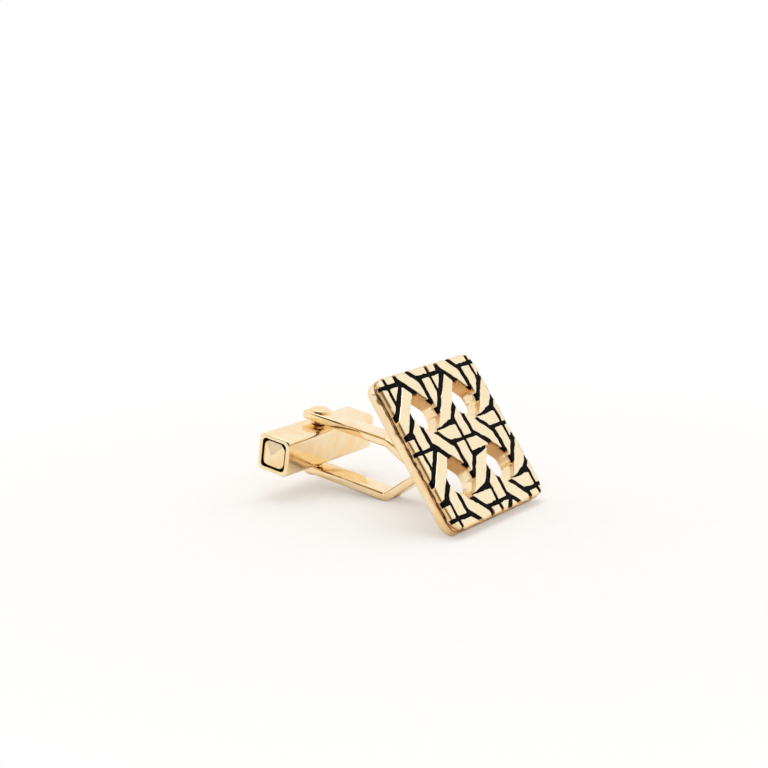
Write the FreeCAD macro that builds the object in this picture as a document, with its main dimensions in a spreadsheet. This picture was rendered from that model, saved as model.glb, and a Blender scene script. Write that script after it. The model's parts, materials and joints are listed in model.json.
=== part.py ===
import FreeCAD, Part
import math
import os
import re

import Sketcher

# A swivel-bar cufflink: a pierced square plaque with a cane-weave face, a fork of two bent arms and a
# hollow square bar that turns on a rivet between the arms' ends.
# The plaque's frame has its origin at the middle of the plaque's back, +X out of the face, +Z up the plaque.
# The fork's frame has its origin at the middle of the rivet, +X along the arms to the plaque, +Z up the rivet.
# Both are turned about Y by the rest tilt, so that the cufflink lies on a table, on the lower back edge of
# its plaque and on the bend of its lower arm.

SIZES = {
    # plaque
    "plaque_side": "16.0",
    "plaque_thickness": "1.85",
    "corner_radius": "1.3",
    "back_round": "0.35",
    "weave_thickness": "0.6",
    "weave_round": "0.2",
    "seam_round": "0.08",
    "seam_inset": "0.06",
    # cane weave: pairs of upright and level strands, single slanted strands, open eyes between them
    "cane_pitch": "6.93",
    "strand_width": "1.27",
    "pair_gap": "0.42",
    "slant_width": "1.25",
    "dive_gap": "0.6",
    "tuck_gap": "0.2",
    "slant_reach": "3.7",
    "relief_depth": "0.4",
    "enamel_depth": "0.31",
    "enamel_inset": "0.12",
    # arms, measured from the plaque's back and along the fork
    "arm_width": "2.45",
    "arm_thickness": "0.85",
    "foot_depth": "0.6",
    "foot_clearance": "0.05",
    "feet_gap": "0.03",
    "feet_drop": "0.475",
    "stem_length": "9.4",
    "fork_angle": "44.0",
    "bend_radius": "0.45",
    "straight_foot": "2.1",
    "shoulder_distance": "5.05",
    "shoulder_gap": "1.0",
    "shoulder_setback": "0.9",
    "pivot_distance": "10.05",
    "arm_overhang": "1.3",
    # rivet and its spacers
    "pin_radius": "0.55",
    "pin_flat": "0.43",
    "flat_length": "2.5",
    "rivet_clearance": "0.02",
    "head_radius": "1.0",
    "head_height": "0.33",
    "head_edge": "0.14",
    "head_land": "0.5",
    "washer_radius": "0.85",
    "washer_play": "0.06",
    "running_clearance": "0.05",
    # swivel bar
    "bar_section": "3.8",
    "bar_length": "14.0",
    "bar_wall": "0.42",
    "bar_round": "0.42",
    "bore_round": "0.45",
    "bar_gap": "0.45",
    "cap_thickness": "0.7",
    "cap_clearance": "0.02",
    "groove_width": "0.2",
    "groove_depth": "0.45",
    "groove_fill": "0.15",
    "stud_round": "0.7",
    "stud_plinth": "0.3",
    "stud_rise": "0.5",
    "stud_tip": "0.05",
    # detent springs: two bowed leaves that bear on the flats of the rivet
    "leaf_thickness": "0.15",
    "leaf_width": "2.1",
    "leaf_span": "8.4",
    "leaf_clearance": "0.03",
    # how far a cutting shape runs past what it cuts
    "cut_overrun": "1.0",
}

# how close, as a share of a piece's size, an edge has to be to count as the one looked for
NEAR_SHARE = 1e-5

FORMULAS = {
    "floor_thickness": "plaque_thickness - weave_thickness",
    "pair_half": "strand_width + pair_gap / 2",
    "eye_half": "cane_pitch / 2 - pair_half",
    "eye_slant": "cane_pitch / sqrt(8) - slant_width / 2",
    "eye_corner": "eye_slant * sqrt(2) - eye_half",
    "lower_foot_z": "-feet_drop - arm_thickness - feet_gap / 2",
    "upper_foot_z": "lower_foot_z + arm_thickness + feet_gap",
    "bend_outer_radius": "bend_radius + arm_thickness",
    "fork_gap": "bar_section + 2 * bar_gap",
    "fork_height": "fork_gap + 2 * arm_thickness",
    "arm_reach": "pivot_distance + arm_overhang",
    "bar_bore": "bar_section - 2 * bar_wall",
    "stud_side": "bar_bore - 2 * groove_width",
    "leaf_bow": "bar_bore / 2 - cap_clearance - leaf_thickness - pin_radius - leaf_clearance",
    "leaf_radius": "(leaf_span ^ 2 / 4 + leaf_bow ^ 2) / (2 * leaf_bow)",
    "pivot_x": "-stem_length - pivot_distance * cos(fork_angle) + fork_height / 2 * sin(fork_angle)",
    "pivot_z": "lower_foot_z + pivot_distance * sin(fork_angle) + fork_height / 2 * cos(fork_angle)",
    # the table touches the rounding of the plaque's lower back edge and the outside of the lower bend
    "rest_run": "stem_length - bend_outer_radius * tan(fork_angle / 2) + back_round",
    "rest_drop": "lower_foot_z + bend_outer_radius + plaque_side / 2 - back_round",
    "rest_lean": "asin((bend_outer_radius - back_round) / sqrt(rest_run ^ 2 + rest_drop ^ 2))",
    "rest_tilt": "(atan2(rest_drop; rest_run) - rest_lean) / 1 deg",
}

doc = FreeCAD.newDocument("Cufflink")
sheet = doc.addObject("Spreadsheet::Sheet", "Sizes")
for row, (alias, text) in enumerate(SIZES.items(), start=1):
    sheet.set(f"A{row}", text)
    sheet.setAlias(f"A{row}", alias)
for row, (alias, formula) in enumerate(FORMULAS.items(), start=1):
    sheet.set(f"B{row}", "=" + formula)
    sheet.setAlias(f"B{row}", alias)
doc.recompute()


def sized(formula):
    """The formula with each alias, a word with an underscore, read from the sheet."""
    return re.sub(r"[a-z]+(?:_[a-z]+)+", r"Sizes.\g<0>", formula)


def value(formula):
    """The formula's present value as a plain number."""
    result = sheet.evalExpression(sized(formula))
    return float(getattr(result, "Value", result))


def bind(piece, formulas):
    """Ties properties of a piece to formulas of the sheet."""
    for name, formula in formulas.items():
        piece.setExpression(name, sized(formula))


def turned_about_y():
    """A placement turned about Y, so that its angle can be bound to a formula."""
    any_angle = 1
    return FreeCAD.Placement(FreeCAD.Vector(), FreeCAD.Rotation(FreeCAD.Vector(0, 1, 0), any_angle))


def rest_on_plaque(piece, label):
    """Names a piece made in the plaque's frame and lays it down with the plaque."""
    piece.Label = label
    piece.Placement = turned_about_y()
    bind(piece, {"Placement.Rotation.Angle": "-rest_tilt"})
    return piece


def rest_on_fork(piece, label):
    """Names a piece made in the fork's frame and lays it down at the rivet."""
    piece.Label = label
    piece.Placement = turned_about_y()
    bind(piece, {
        "Placement.Rotation.Angle": "fork_angle - rest_tilt",
        "Placement.Base.x": "pivot_x * cos(rest_tilt) - pivot_z * sin(rest_tilt)",
        "Placement.Base.z": "pivot_x * sin(rest_tilt) + pivot_z * cos(rest_tilt)",
    })
    return piece


def fork_point(along, across):
    """Formulas, in the plaque's frame, of a point along the fork from the lower bend and across it."""
    return (
        f"-stem_length - ({along}) * cos(fork_angle) + ({across}) * sin(fork_angle)",
        f"lower_foot_z + ({along}) * sin(fork_angle) + ({across}) * cos(fork_angle)",
    )


def new_sketch(body, name, role, offset="0"):
    """A sketch on one of the body's own origin planes, moved along the plane's normal by the offset."""
    plane = next(f for f in body.Origin.OriginFeatures if f.Role == role)
    sketch = body.newObject("Sketcher::SketchObject", name)
    sketch.AttachmentSupport = (plane, "")
    sketch.MapMode = "FlatFace"
    bind(sketch, {"AttachmentOffset.Base.z": offset})
    return sketch


def pin_point(sketch, line, end, formulas):
    """Ties the start (1) or end (2) of a sketch line to formulas of its two coordinates."""
    for kind, formula in zip(("DistanceX", "DistanceY"), formulas):
        index = sketch.addConstraint(Sketcher.Constraint(kind, -1, 1, line, end, value(formula)))
        bind(sketch, {f"Constraints[{index}]": formula})


def draw_outline(sketch, corners):
    """Adds one closed outline of straight lines, each corner given as two formulas."""
    first, count = sketch.GeometryCount, len(corners)
    points = [FreeCAD.Vector(value(x), value(y), 0) for x, y in corners]
    sketch.addGeometry([Part.LineSegment(points[k], points[(k + 1) % count]) for k in range(count)])
    sketch.addConstraint([
        Sketcher.Constraint("Coincident", first + k, 2, first + (k + 1) % count, 1) for k in range(count)
    ])
    for k, corner in enumerate(corners):
        pin_point(sketch, first + k, 1, corner)


def rectangle(half_width, half_height, middle=("0", "0")):
    """The corners of an upright rectangle as pairs of formulas."""
    across, up = middle
    signs = ((-1, -1), (1, -1), (1, 1), (-1, 1))
    return [(f"{across} + {a} * ({half_width})", f"{up} + {b} * ({half_height})") for a, b in signs]


def draw_rounded_square(sketch, half, radius):
    """Adds a square outline about the origin, its half side and the radius of its corners given as formulas."""
    flat = f"(({half}) - ({radius}))"
    bend = value(radius)
    quarter = math.pi / 2
    turns = ((1, 0), (0, 1), (-1, 0), (0, -1))
    for k, (c, s) in enumerate(turns):
        start = (f"{c} * ({half}) + {s} * {flat}", f"{s} * ({half}) - {c} * {flat}")
        end = (f"{c} * ({half}) - {s} * {flat}", f"{s} * ({half}) + {c} * {flat}")
        ends = [FreeCAD.Vector(value(y), value(z), 0) for y, z in (start, end)]
        middle = FreeCAD.Vector((c - s) * value(flat), (s + c) * value(flat), 0)
        corner = Part.Circle(middle, FreeCAD.Vector(0, 0, 1), bend)
        side = sketch.addGeometry(Part.LineSegment(*ends))
        arc = sketch.addGeometry(Part.ArcOfCircle(corner, k * quarter, (k + 1) * quarter))
        pin_point(sketch, side, 1, start)
        pin_point(sketch, side, 2, end)
        sketch.addConstraint(Sketcher.Constraint("Coincident", side, 2, arc, 1))
        index = sketch.addConstraint(Sketcher.Constraint("Radius", arc, bend))
        bind(sketch, {f"Constraints[{index}]": radius})
    first = sketch.GeometryCount - 2 * len(turns)
    for k in range(len(turns)):
        following = first + 2 * ((k + 1) % len(turns))
        sketch.addConstraint(Sketcher.Constraint("Coincident", first + 2 * k + 1, 2, following, 1))


def pad(body, name, sketch, length, midplane=False, backwards=False):
    """Pads a sketch by a formula's length."""
    feature = body.newObject("PartDesign::Pad", name)
    feature.Profile = sketch
    feature.Midplane = midplane
    feature.Reversed = backwards
    bind(feature, {"Length": length})
    doc.recompute()
    return feature


def pocket(body, name, sketch, length, midplane=False, backwards=False):
    """Cuts a sketch out by a formula's depth and makes sure that it took something away."""
    before = body.Shape.Volume
    feature = body.newObject("PartDesign::Pocket", name)
    feature.Profile = sketch
    feature.Midplane = midplane
    feature.Reversed = backwards
    bind(feature, {"Length": length})
    doc.recompute()
    if body.Shape.Volume >= before:
        raise RuntimeError(name + " cuts nothing")
    return feature


def fillet(body, name, base, edges, radius):
    """Rounds the given edges of a feature by a formula's radius."""
    feature = body.newObject("PartDesign::Fillet", name)
    feature.Base = (base, edges)
    bind(feature, {"Radius": radius})
    doc.recompute()
    return feature


def edges_along(shape, axis, places):
    """Names of the straight edges along an axis that pass through the places, given off that axis."""
    names = []
    near = shape.BoundBox.DiagonalLength * NEAR_SHARE
    others = [k for k in range(3) if k != axis]
    for number, edge in enumerate(shape.Edges, start=1):
        ends = [[vertex.Point[k] for k in others] for vertex in edge.Vertexes]
        if any(all(math.dist(end, place) < near for end in ends) for place in places):
            names.append(f"Edge{number}")
    return names


def edges_in_plane(shape, axis, height):
    """Names of the edges that lie in the plane across an axis at a height."""
    near = shape.BoundBox.DiagonalLength * NEAR_SHARE
    return [
        f"Edge{number}" for number, edge in enumerate(shape.Edges, start=1)
        if all(abs(vertex.Point[axis] - height) < near for vertex in edge.Vertexes)
    ]


def eye_middles():
    """Formulas of the middles of the four open eyes of the weave."""
    return [(f"{a} * cane_pitch / 2", f"{b} * cane_pitch / 2") for a in (-1, 1) for b in (-1, 1)]


def eye_outline(middle):
    """The eight corners of one open eye, bounded by the edges of the strands around it."""
    across, up = middle
    turns = ((1, 0), (0, 1), (-1, 0), (0, -1))
    corners = []
    for c, s in turns:
        for lean in (-1, 1):
            corners.append((
                f"{across} + {c} * eye_half - {s * lean} * eye_corner",
                f"{up} + {s} * eye_half + {c * lean} * eye_corner",
            ))
    return corners


def make_plaque_base():
    """The plaque's plate: a square with rounded corners, four eyes through it and a slot for the arms' feet."""
    body = doc.addObject("PartDesign::Body", "PlaqueBase")
    sketch = new_sketch(body, "PlaqueOutline", "YZ_Plane")
    draw_rounded_square(sketch, "plaque_side / 2", "corner_radius")
    plate = pad(body, "PlaquePlate", sketch, "floor_thickness")
    front = edges_in_plane(plate.Shape, 0, value("floor_thickness"))
    plate = fillet(body, "SeamRound", plate, front, "seam_round")
    fillet(body, "BackRound", plate, edges_in_plane(plate.Shape, 0, 0), "back_round")
    sketch = new_sketch(body, "EyeOutlines", "YZ_Plane")
    for middle in eye_middles():
        draw_outline(sketch, eye_outline(middle))
    pocket(body, "Eyes", sketch, "floor_thickness", backwards=True)
    sketch = new_sketch(body, "FeetSlotOutline", "YZ_Plane")
    slot_half = "arm_thickness + feet_gap / 2 + foot_clearance"
    draw_outline(sketch, rectangle("arm_width / 2 + foot_clearance", slot_half, ("0", "-feet_drop")))
    pocket(body, "FeetSlot", sketch, "foot_depth", backwards=True)
    return rest_on_plaque(body, "plaque_base")


def clip(outline, direction, limit):
    """The part of a convex outline whose reach in a direction is no more than the limit."""
    kept = []
    for k, point in enumerate(outline):
        following = outline[(k + 1) % len(outline)]
        here = point[0] * direction[0] + point[1] * direction[1] - limit
        there = following[0] * direction[0] + following[1] * direction[1] - limit
        if here <= 0:
            kept.append(point)
        if here * there < 0:
            part = here / (here - there)
            kept.append(tuple(a + part * (b - a) for a, b in zip(point, following)))
    return kept


def shifted(outline, across, up):
    """The outline moved within the face."""
    return [(y + across, z + up) for y, z in outline]


def rising_strand(tucked):
    """A slanted strand that climbs to the right. Its low end goes under the level pair below it.

    Its high end lies over the nearer strand of the level pair above, or is tucked under that pair too.
    The gap at a tucked end widens from the tuck gap at one edge to the dive gap at the other.
    """
    reach = value("slant_reach")
    half = value("slant_width / 2")
    low_end = value("cane_pitch / 2 - pair_half - tuck_gap")
    slope = value("(dive_gap - tuck_gap) / (slant_width * sqrt(2))")
    limit = low_end - slope * (low_end + half * math.sqrt(2))
    band = [(-1, -1), (1, -1), (1, 1), (-1, 1)]
    strand = [((s * reach - w * half) / math.sqrt(2), (s * reach + w * half) / math.sqrt(2)) for s, w in band]
    strand = clip(strand, (slope, -1), limit)
    return clip(strand, (-slope, 1), limit) if tucked else strand


def falling_strand():
    """A slanted strand that falls to the right, with both ends tucked under the upright pairs beside it."""
    reach = value("slant_reach")
    half = value("slant_width / 2")
    side_end = value("cane_pitch / 2 - pair_half - dive_gap")
    band = [(-1, -1), (1, -1), (1, 1), (-1, 1)]
    strand = [((s * reach + w * half) / math.sqrt(2), (-s * reach + w * half) / math.sqrt(2)) for s, w in band]
    return clip(clip(strand, (1, 0), side_end), (-1, 0), side_end)


def crossing_stubs(overlaid):
    """The four strand ends that pinwheel about a crossing of an upright and a level pair.

    Each runs out from the crossing until it dives under a slanted strand. Where a rising strand overlies
    the level stub on the lower right, only the corner beside the crossing shows.
    """
    inner, outer = value("pair_gap / 2"), value("pair_half")
    far = value("cane_pitch / 2")
    edge = value("cane_pitch / 2 - slant_width / sqrt(2) - dive_gap * sqrt(2)")
    level = [(-far, inner), (-inner, inner), (-inner, outer), (-far, outer)]
    level = clip(level, (-1, -1), edge)
    upright = [(inner, inner), (outer, inner), (outer, far), (inner, far)]
    upright = clip(upright, (-1, 1), edge)
    stubs = [level, upright]
    stubs += [[(-y, -z) for y, z in stub] for stub in (level, upright)]
    if overlaid:
        stubs[2] = clip(stubs[2], (1, -1), edge)
    return stubs


def weave_outlines():
    """Convex outlines, in the plaque's face, of every strand that shows."""
    pitch = value("cane_pitch")
    outlines = []
    for column in (-1, 0, 1):
        for row in (-1, 0, 1):
            # the level stub on the lower right shows whole at the middle crossing and at the lower left one
            whole = (column, row) in ((0, 0), (-1, -1))
            stubs = crossing_stubs(overlaid=not whole)
            outlines += [shifted(stub, column * pitch, row * pitch) for stub in stubs]
        for side in (-1, 1):
            below_middle = column == 0 and side < 0
            between = side * pitch / 2
            outlines.append(shifted(rising_strand(below_middle), column * pitch, between))
            outlines.append(shifted(falling_strand(), between, column * pitch))
    # the end of one more rising strand shows at the lower edge
    outlines.append(shifted(rising_strand(False), 0, -pitch - pitch / 2))
    return outlines


def prism(outline, back, thickness):
    """A straight-sided solid on an outline of the face."""
    points = [FreeCAD.Vector(back, y, z) for y, z in outline]
    wire = Part.makePolygon(points + points[:1])
    return Part.Face(wire).extrude(FreeCAD.Vector(thickness, 0, 0))


def weave_slab(back, thickness, inset):
    """A slab of the plaque's outline, set in from it all round."""
    half = value(f"plaque_side / 2 - ({inset})")
    slab = Part.makeBox(thickness, 2 * half, 2 * half, FreeCAD.Vector(back, -half, -half))
    corners = [(a * half, b * half) for a in (-1, 1) for b in (-1, 1)]
    upright = [slab.getElement(name) for name in edges_along(slab, 0, corners)]
    return slab.makeFillet(value(f"corner_radius - ({inset})"), upright)


def make_weave():
    """The cane weave, a thin web with the strands standing on it, and the enamel that fills its recesses."""
    web_back = value("floor_thickness")
    web_front = value("plaque_thickness - relief_depth")
    front = value("plaque_thickness")
    through = value("cut_overrun")
    slab = weave_slab(web_back, front - web_back, "seam_inset")
    rim = [slab.getElement(name) for name in edges_in_plane(slab, 0, front)]
    slab = slab.makeFillet(value("weave_round"), rim)
    strands = []
    for outline in weave_outlines():
        inside = prism(outline, web_front, front - web_front).common(slab)
        strands += inside.Solids
    eyes = []
    for middle in eye_middles():
        corners = [(value(y), value(z)) for y, z in eye_outline(middle)]
        eyes.append(prism(corners, -through, front + 2 * through))
    web = weave_slab(web_back, web_front - web_back, "seam_inset")
    weave = doc.addObject("Part::Feature", "CaneWeave")
    weave.Shape = web.multiFuse(strands).cut(Part.makeCompound(eyes)).removeSplitter()
    rest_on_plaque(weave, "cane_weave")
    fill = weave_slab(web_front, value("enamel_depth"), "seam_inset + enamel_inset")
    fill = fill.cut(Part.makeCompound(strands + eyes))
    enamel = doc.addObject("Part::Feature", "BlackEnamel")
    enamel.Shape = Part.makeCompound(fill.Solids)
    rest_on_plaque(enamel, "black_enamel")
    return [weave, enamel]


def make_strap(name, underside):
    """A flat strap of the arms' section, bent along the underside's corners, which run from foot to tip."""
    body = doc.addObject("PartDesign::Body", name)
    sketch = new_sketch(body, name + "Side", "XZ_Plane")
    low = [FreeCAD.Vector(value(x), value(z), 0) for x, z in underside]
    runs = [(b - a).normalize() for a, b in zip(low, low[1:])]
    rises = [FreeCAD.Vector(run.y, -run.x, 0) for run in runs]
    thickness = value("arm_thickness")
    high = [low[0] + rises[0] * thickness]
    for point, before, after in zip(low[1:-1], rises, rises[1:]):
        high.append(point + (before + after) * (thickness / (1 + before.dot(after))))
    high.append(low[-1] + rises[-1] * thickness)
    ring = low + high[::-1]
    count, last = len(ring), len(runs)
    sketch.addGeometry([Part.LineSegment(ring[k], ring[(k + 1) % count]) for k in range(count)])
    sketch.addConstraint([
        Sketcher.Constraint("Coincident", k, 2, (k + 1) % count, 1) for k in range(count)
    ])
    for k, corner in enumerate(underside):
        pin_point(sketch, k, 1, corner)
    for k in range(len(high)):
        for run in {max(k - 1, 0), min(k, last - 1)}:
            index = sketch.addConstraint(Sketcher.Constraint("Distance", count - 1 - k, 1, run, thickness))
            bind(sketch, {f"Constraints[{index}]": "arm_thickness"})
    sketch.addConstraint(Sketcher.Constraint("Perpendicular", last, last - 1))
    sketch.addConstraint(Sketcher.Constraint("Perpendicular", count - 1, 0))
    strap = pad(body, name + "Strap", sketch, "arm_width", midplane=True)
    inside, outside = [], []
    for k in range(1, last):
        rising = runs[k - 1].cross(runs[k]).z < 0
        inside.append(tuple(high[k] if rising else low[k])[:2])
        outside.append(tuple(low[k] if rising else high[k])[:2])
    strap = fillet(body, name + "Inside", strap, edges_along(strap.Shape, 1, inside), "bend_radius")
    fillet(body, name + "Outside", strap, edges_along(strap.Shape, 1, outside), "bend_outer_radius")
    return body


def make_arm(label, underside):
    """An arm of the fork: a bent strap with a hole for the rivet near its tip."""
    name = label.title().replace("_", "")
    strap = make_strap(name, underside)
    drill = doc.addObject("Part::Cylinder", name + "Drill")
    x, z = fork_point("pivot_distance", "-cut_overrun")
    drill.Placement = turned_about_y()
    bind(drill, {
        "Radius": "pin_radius + rivet_clearance",
        "Height": "fork_height + 2 * cut_overrun",
        "Placement.Base.x": x,
        "Placement.Base.z": z,
        "Placement.Rotation.Angle": "fork_angle",
    })
    arm = doc.addObject("Part::Cut", name + "Arm")
    arm.Base = strap
    arm.Tool = drill
    return rest_on_plaque(arm, label)


def make_arms():
    """The lower arm with one bend, and the upper arm that steps up at its shoulder."""
    lower = [
        ("foot_depth", "lower_foot_z"),
        ("-stem_length", "lower_foot_z"),
        fork_point("arm_reach", "0"),
    ]
    upper = [
        ("foot_depth", "upper_foot_z"),
        ("-straight_foot", "upper_foot_z"),
        ("-shoulder_distance", "lower_foot_z + arm_thickness + shoulder_gap"),
        fork_point("shoulder_setback", "fork_height - arm_thickness"),
        fork_point("arm_reach", "fork_height - arm_thickness"),
    ]
    return [make_arm("lower_arm", lower), make_arm("upper_arm", upper)]


def make_rivet():
    """The pivot rivet: a round pin with four flats inside the bar and a low head outside each arm."""
    body = doc.addObject("PartDesign::Body", "PivotRivet")
    sketch = new_sketch(body, "RivetProfile", "XZ_Plane")
    half = "fork_height / 2"
    side = [
        ("pin_radius", half),
        ("head_radius", half),
        ("head_radius", f"{half} + head_edge"),
        ("head_land", f"{half} + head_height"),
        ("0", f"{half} + head_height"),
    ]
    draw_outline(sketch, [(x, f"-({z})") for x, z in side[::-1]] + side)
    turned = body.newObject("PartDesign::Revolution", "RivetTurned")
    turned.Profile = sketch
    turned.ReferenceAxis = (sketch, ["V_Axis"])
    doc.recompute()
    sketch = new_sketch(body, "RivetFlats", "XY_Plane")
    draw_outline(sketch, rectangle("pin_radius + cut_overrun", "pin_radius + cut_overrun"))
    draw_outline(sketch, rectangle("pin_flat", "pin_flat"))
    pocket(body, "RivetFlatsCut", sketch, "flat_length", midplane=True)
    return rest_on_fork(body, "pivot_rivet")


def cylinder(name, radius, height, base):
    """An upright cylinder about the rivet's axis, from a base height."""
    round_bar = doc.addObject("Part::Cylinder", name)
    bind(round_bar, {"Radius": radius, "Height": height, "Placement.Base.z": base})
    return round_bar


def box(name, sides, corner):
    """A box with its lowest corner and its three sides given as formulas."""
    block = doc.addObject("Part::Box", name)
    bind(block, dict(zip(("Length", "Width", "Height"), sides)))
    bind(block, dict(zip(("Placement.Base.x", "Placement.Base.y", "Placement.Base.z"), corner)))
    return block


def cut(name, base, tool):
    """One shape less another."""
    piece = doc.addObject("Part::Cut", name)
    piece.Base = base
    piece.Tool = tool
    return piece


def make_washers():
    """Thin spacers that keep the bar midway between the arms, one against each arm."""
    washers = []
    thickness = "bar_gap - washer_play"
    seats = {"upper_washer": f"fork_gap / 2 - ({thickness})", "lower_washer": "-fork_gap / 2"}
    for label, seat in seats.items():
        name = label.title().replace("_", "")
        disc = cylinder(name + "Disc", "washer_radius", thickness, seat)
        height = f"{thickness} + 2 * cut_overrun"
        hole = cylinder(name + "Hole", "pin_radius + running_clearance", height, f"{seat} - cut_overrun")
        washers.append(rest_on_fork(cut(name, disc, hole), label))
    return washers


def make_shell():
    """The bar's square tube, open at both ends, with holes for the rivet in its upper and lower walls."""
    body = doc.addObject("PartDesign::Body", "ToggleShell")
    sketch = new_sketch(body, "TubeSection", "XZ_Plane")
    draw_rounded_square(sketch, "bar_section / 2", "bar_round")
    draw_rounded_square(sketch, "bar_bore / 2", "bore_round")
    pad(body, "Tube", sketch, "bar_length", midplane=True)
    sketch = new_sketch(body, "PinHole", "XY_Plane")
    radius = value("pin_radius + running_clearance")
    sketch.addGeometry(Part.Circle(FreeCAD.Vector(), FreeCAD.Vector(0, 0, 1), radius))
    sketch.addConstraint(Sketcher.Constraint("Coincident", 0, 3, -1, 1))
    index = sketch.addConstraint(Sketcher.Constraint("Radius", 0, radius))
    bind(sketch, {f"Constraints[{index}]": "pin_radius + running_clearance"})
    pocket(body, "PinHoles", sketch, "bar_section + 2 * cut_overrun", midplane=True)
    return rest_on_fork(body, "toggle_shell")


def make_cap(label, side):
    """An end cap: a plate inside the tube with a soft pyramid stud on it, a groove's width from the tube's rim.

    The tube's section plane faces -Y, so side 1 is the near end and side -1 the far one.
    """
    name = label.title().replace("_", "")
    body = doc.addObject("PartDesign::Body", name)
    floor = f"{side} * (bar_length / 2 - groove_depth)"
    plinth_top = f"{floor} + {side} * stud_plinth"
    tip = f"{plinth_top} + {side} * stud_rise"
    sketch = new_sketch(body, name + "PlateOutline", "XZ_Plane", floor)
    draw_rounded_square(sketch, "bar_bore / 2 - cap_clearance", "bore_round")
    pad(body, name + "Plate", sketch, "cap_thickness", backwards=side > 0)
    sketch = new_sketch(body, name + "PlinthOutline", "XZ_Plane", floor)
    draw_rounded_square(sketch, "stud_side / 2", "stud_round")
    pad(body, name + "Plinth", sketch, "stud_plinth", backwards=side < 0)
    base = new_sketch(body, name + "StudBase", "XZ_Plane", plinth_top)
    draw_rounded_square(base, "stud_side / 2", "stud_round")
    point = new_sketch(body, name + "StudTip", "XZ_Plane", tip)
    draw_rounded_square(point, "stud_tip / 2", "stud_round * stud_tip / stud_side")
    stud = body.newObject("PartDesign::AdditiveLoft", name + "Stud")
    stud.Profile = base
    stud.Sections = [point]
    doc.recompute()
    return rest_on_fork(body, label)


def make_groove_enamel():
    """Black enamel at the bottom of the groove around the stud, one ring at each end of the bar."""
    rings = []
    for end, side in {"near": 1, "far": -1}.items():
        name = "Groove" + end.title()
        body = doc.addObject("PartDesign::Body", name)
        sketch = new_sketch(body, name + "Outline", "XZ_Plane", f"{side} * (bar_length / 2 - groove_depth)")
        draw_rounded_square(sketch, "bar_bore / 2 - cap_clearance", "bore_round")
        draw_rounded_square(sketch, "stud_side / 2 + cap_clearance", "stud_round + cap_clearance")
        pad(body, name + "Fill", sketch, "groove_fill", backwards=side < 0)
        rings.append(rest_on_fork(body, "groove_enamel_" + end))
    return rings


def make_springs():
    """Two bowed leaves inside the bar, one on each side of the rivet, with their ends on the tube's walls."""
    springs = []
    for label, side in {"detent_spring_front": 1, "detent_spring_rear": -1}.items():
        name = label.title().replace("_", "")
        middle = f"{side} * (pin_radius + leaf_clearance + leaf_radius)"
        outside = cylinder(name + "Outside", "leaf_radius", "leaf_width", "-leaf_width / 2")
        height = "leaf_width + 2 * cut_overrun"
        base = "-leaf_width / 2 - cut_overrun"
        inside = cylinder(name + "Inside", "leaf_radius - leaf_thickness", height, base)
        for round_bar in (outside, inside):
            bind(round_bar, {"Placement.Base.x": middle})
        depth = "bar_bore / 2 - cap_clearance"
        corner = ("0" if side > 0 else f"-({depth})", "-leaf_span / 2", "-leaf_width / 2")
        window = box(name + "Window", (depth, "leaf_span", "leaf_width"), corner)
        leaf = doc.addObject("Part::Common", name)
        leaf.Base = cut(name + "Ring", outside, inside)
        leaf.Tool = window
        springs.append(rest_on_fork(leaf, label))
    return springs


pieces = [make_plaque_base()]
pieces += make_weave()
pieces += make_arms()
pieces += [make_rivet()]
pieces += make_washers()
pieces += [make_shell(), make_cap("toggle_cap_near", 1), make_cap("toggle_cap_far", -1)]
pieces += make_groove_enamel()
pieces += make_springs()
doc.recompute()

for item in doc.Objects:
    if "Invalid" in item.State or "Error" in item.State:
        raise RuntimeError(f"{item.Label} failed: {item.State}")
for piece in pieces:
    if piece.Shape.isNull() or not piece.Shape.isValid():
        raise RuntimeError(f"{piece.Label} has no valid shape")

os.makedirs("parts", exist_ok=True)
for piece in pieces:
    piece.Shape.exportStep(f"parts/{piece.Label}.step")
    print(f"{piece.Label}: {len(piece.Shape.Solids)} solid(s), {piece.Shape.Volume:.2f} mm3")
print("rest tilt", sheet.get("rest_tilt"))
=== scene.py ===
import bmesh
import bpy
import json
import math
from mathutils import Matrix, Vector, noise


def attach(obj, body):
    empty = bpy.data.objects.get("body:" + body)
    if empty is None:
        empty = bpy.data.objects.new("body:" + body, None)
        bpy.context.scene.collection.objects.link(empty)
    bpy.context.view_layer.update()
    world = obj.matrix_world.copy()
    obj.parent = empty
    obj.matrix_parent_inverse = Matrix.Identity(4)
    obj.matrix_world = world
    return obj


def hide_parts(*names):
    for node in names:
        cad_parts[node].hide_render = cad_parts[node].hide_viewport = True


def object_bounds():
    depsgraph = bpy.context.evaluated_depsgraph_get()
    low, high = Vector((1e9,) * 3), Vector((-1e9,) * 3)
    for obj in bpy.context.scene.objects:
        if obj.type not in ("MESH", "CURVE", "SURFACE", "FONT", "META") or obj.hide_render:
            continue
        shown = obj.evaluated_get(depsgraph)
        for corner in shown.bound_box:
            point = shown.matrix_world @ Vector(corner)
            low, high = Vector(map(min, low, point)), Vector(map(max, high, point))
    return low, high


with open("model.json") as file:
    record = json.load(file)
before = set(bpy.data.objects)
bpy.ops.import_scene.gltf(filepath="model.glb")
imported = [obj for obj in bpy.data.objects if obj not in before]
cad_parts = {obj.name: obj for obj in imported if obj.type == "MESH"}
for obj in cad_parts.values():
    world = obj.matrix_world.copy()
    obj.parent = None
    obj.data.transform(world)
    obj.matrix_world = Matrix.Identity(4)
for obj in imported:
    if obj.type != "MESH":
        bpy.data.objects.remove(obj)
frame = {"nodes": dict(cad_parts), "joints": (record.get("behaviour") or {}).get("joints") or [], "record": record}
cad_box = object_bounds()

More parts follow.
